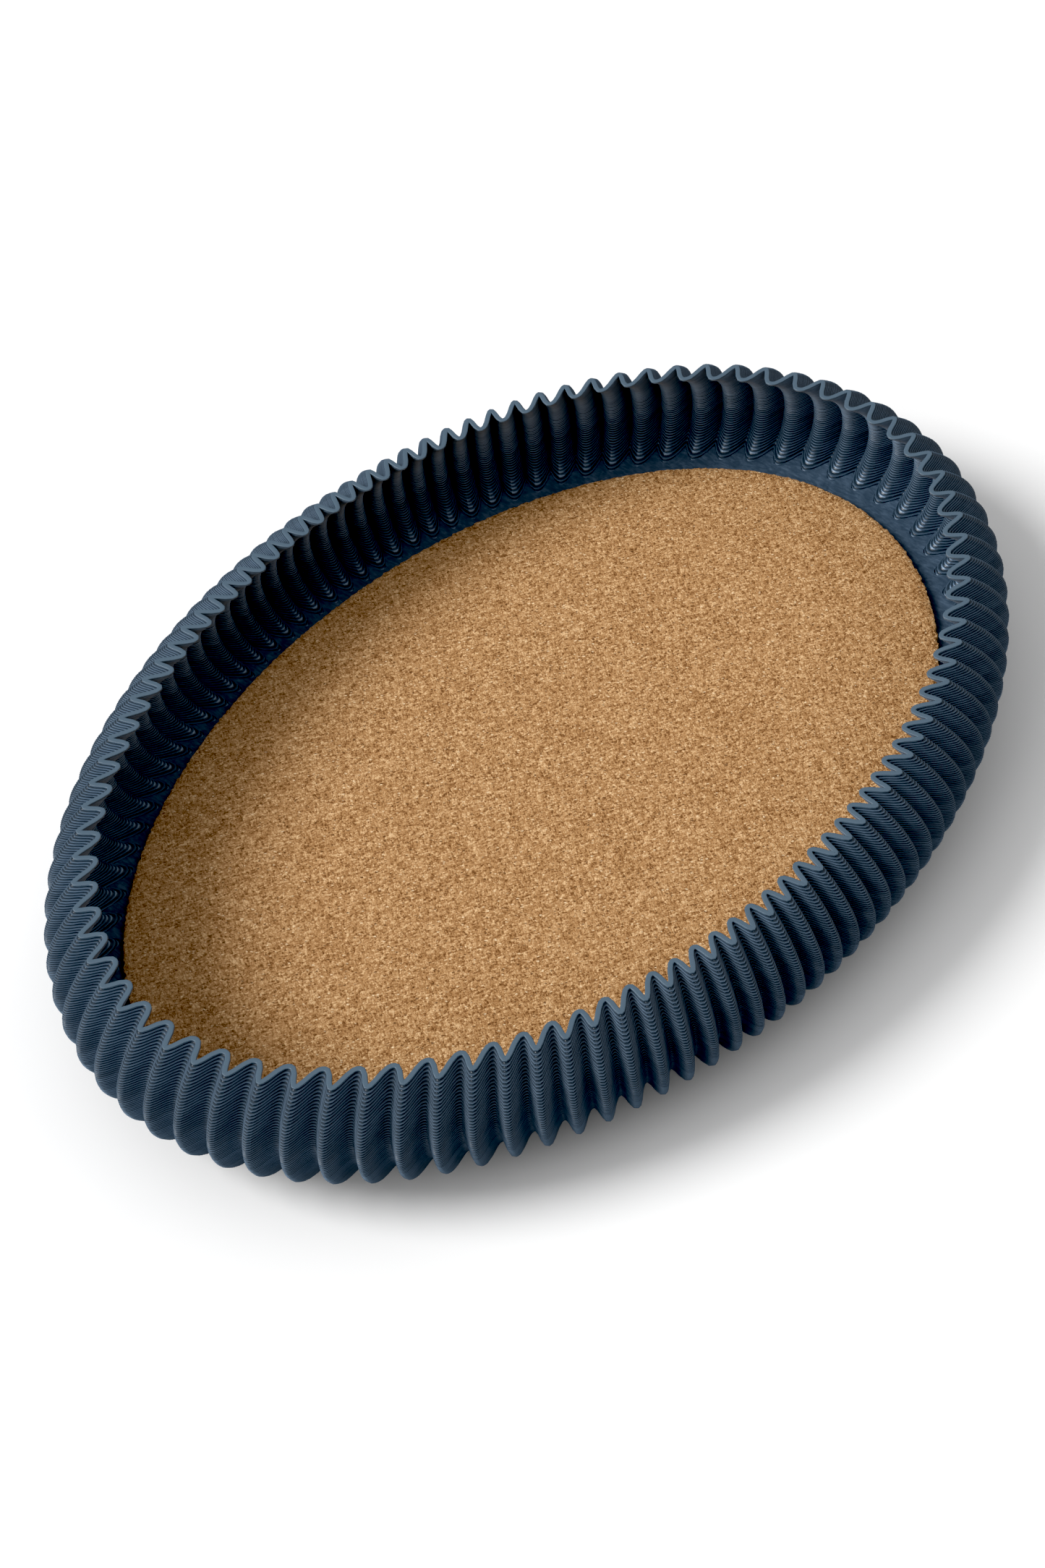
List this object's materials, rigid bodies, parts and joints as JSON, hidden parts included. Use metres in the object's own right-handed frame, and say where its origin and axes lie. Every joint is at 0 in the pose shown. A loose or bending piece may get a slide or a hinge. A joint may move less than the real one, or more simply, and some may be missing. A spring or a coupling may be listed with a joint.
{
  "type": "oval cork pin board",
  "caption": "Oval cork pin board in a deep pleated plastic frame whose wall swells outward, with D-ring hangers and soft bumpers behind.",
  "frame": {"origin": "middle of the plane that the four bumpers' feet lie in", "axes": "+X along the oval's long axis, +Y up the wall when the board hangs, +Z out of the cork face"},
  "size_m": [0.268, 0.1924, 0.0384],
  "materials": {
    "frame_plastic": "satin, with fine horizontal print layers",
    "cork": "raw pressed cork granules",
    "glue": "dried contact glue",
    "plywood": "bare plywood",
    "zinc_steel": "zinc plated",
    "bumper_rubber": "matte"
  },
  "bodies": {
    "board": {"pleated_frame": "frame_plastic", "cork_sheet": "cork", "cork_glue": "glue", "panel_glue": "glue", "backing_panel": "plywood", "hanger_strap_left": "zinc_steel", "hanger_strap_right": "zinc_steel", "screw_left_upper": "zinc_steel", "screw_left_lower": "zinc_steel", "screw_right_upper": "zinc_steel", "screw_right_lower": "zinc_steel", "bumper_upper_left": "bumper_rubber", "bumper_lower_left": "bumper_rubber", "bumper_upper_right": "bumper_rubber", "bumper_lower_right": "bumper_rubber"},
    "ring_left": {"hanger_ring_left": "zinc_steel"},
    "ring_right": {"hanger_ring_right": "zinc_steel"}
  },
  "joints": [
    {"name": "ring_left_hinge", "type": "hinge", "parent": "board", "child": "ring_left", "pos_m": [-0.055, 0.024, 0.00232], "axis": [-1, 0, 0], "range_deg": [0, 160]},
    {"name": "ring_right_hinge", "type": "hinge", "parent": "board", "child": "ring_right", "pos_m": [0.055, 0.024, 0.00232], "axis": [-1, 0, 0], "range_deg": [0, 160]}
  ]
}
